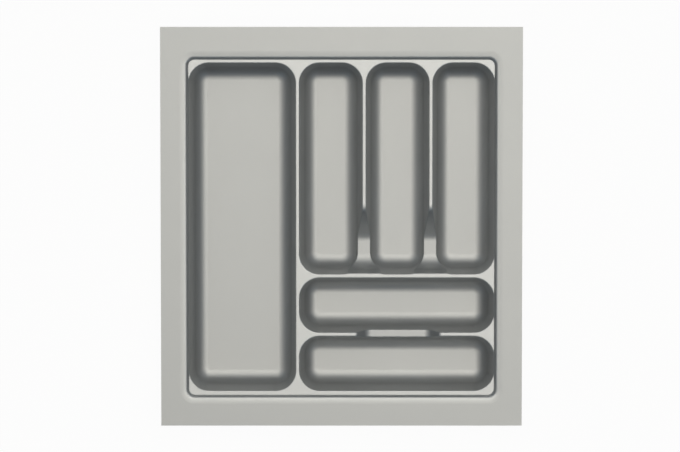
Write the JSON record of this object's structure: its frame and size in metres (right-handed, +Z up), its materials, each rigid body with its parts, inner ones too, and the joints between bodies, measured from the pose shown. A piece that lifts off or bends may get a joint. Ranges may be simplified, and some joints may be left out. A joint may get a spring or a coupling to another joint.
{
  "type": "cutlery tray",
  "caption": "Drawer cutlery tray formed from grey plastic sheet, with a flat trim border, tapered compartments and finger scoops in the dividers.",
  "frame": {"origin": "centre of the footprint on the surface that the compartment floors rest on", "axes": "+X to the right and +Y to the back of the drawer, away from the person who opens it, with the long utensil compartment at the left; +Z up"},
  "size_m": [0.44, 0.486, 0.052],
  "materials": {
    "tray_plastic": "silver-grey satin with a fine grain"
  },
  "bodies": {
    "root": {"trim_border": "tray_plastic", "utensil_compartment": "tray_plastic", "knife_compartment": "tray_plastic", "fork_compartment": "tray_plastic", "spoon_compartment": "tray_plastic", "rear_cross_compartment": "tray_plastic", "front_cross_compartment": "tray_plastic"}
  },
  "joints": []
}
